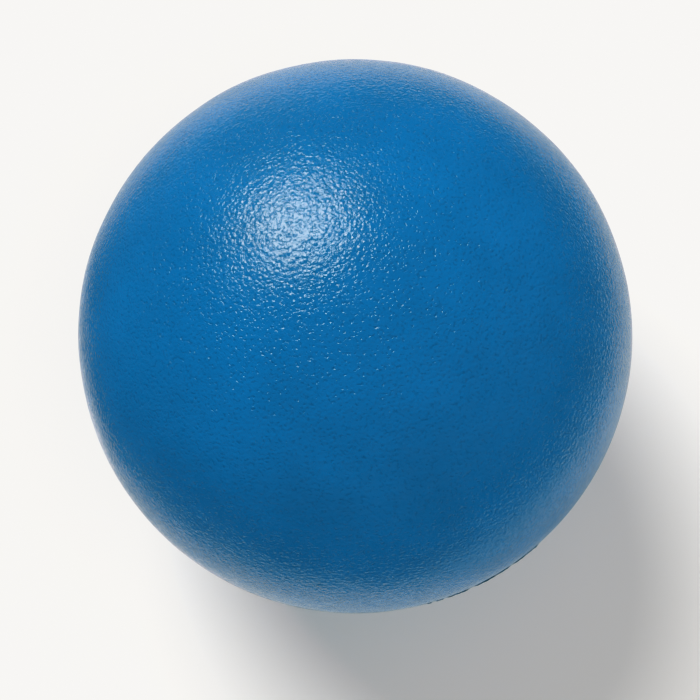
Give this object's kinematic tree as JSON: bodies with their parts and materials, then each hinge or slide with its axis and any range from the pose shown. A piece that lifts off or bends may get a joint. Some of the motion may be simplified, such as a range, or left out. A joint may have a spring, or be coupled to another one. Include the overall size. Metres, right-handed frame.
{
  "type": "croquet ball",
  "caption": "Solid round ball for croquet: a glossy moulded plastic shell in halves, closed by a seam round its middle, over a cork and rubber core.",
  "frame": {"origin": "centre of the ball", "axes": "+Z along the ball's moulding axis, square to the seam, from the grooved half towards the half with the tongue; X and Y lie in the seam's plane, and all directions in it are alike"},
  "size_m": [0.092, 0.092, 0.092],
  "materials": {
    "shell": "blue, semi-gloss, with a fine orange-peel texture",
    "seam": "darker blue cement, dressed by hand and slightly uneven",
    "core": "matt, brown cork granules in dark rubber binder"
  },
  "bodies": {
    "root": {"shell_upper": "shell", "shell_lower": "shell", "seam_bead": "seam", "core": "core"}
  },
  "joints": []
}
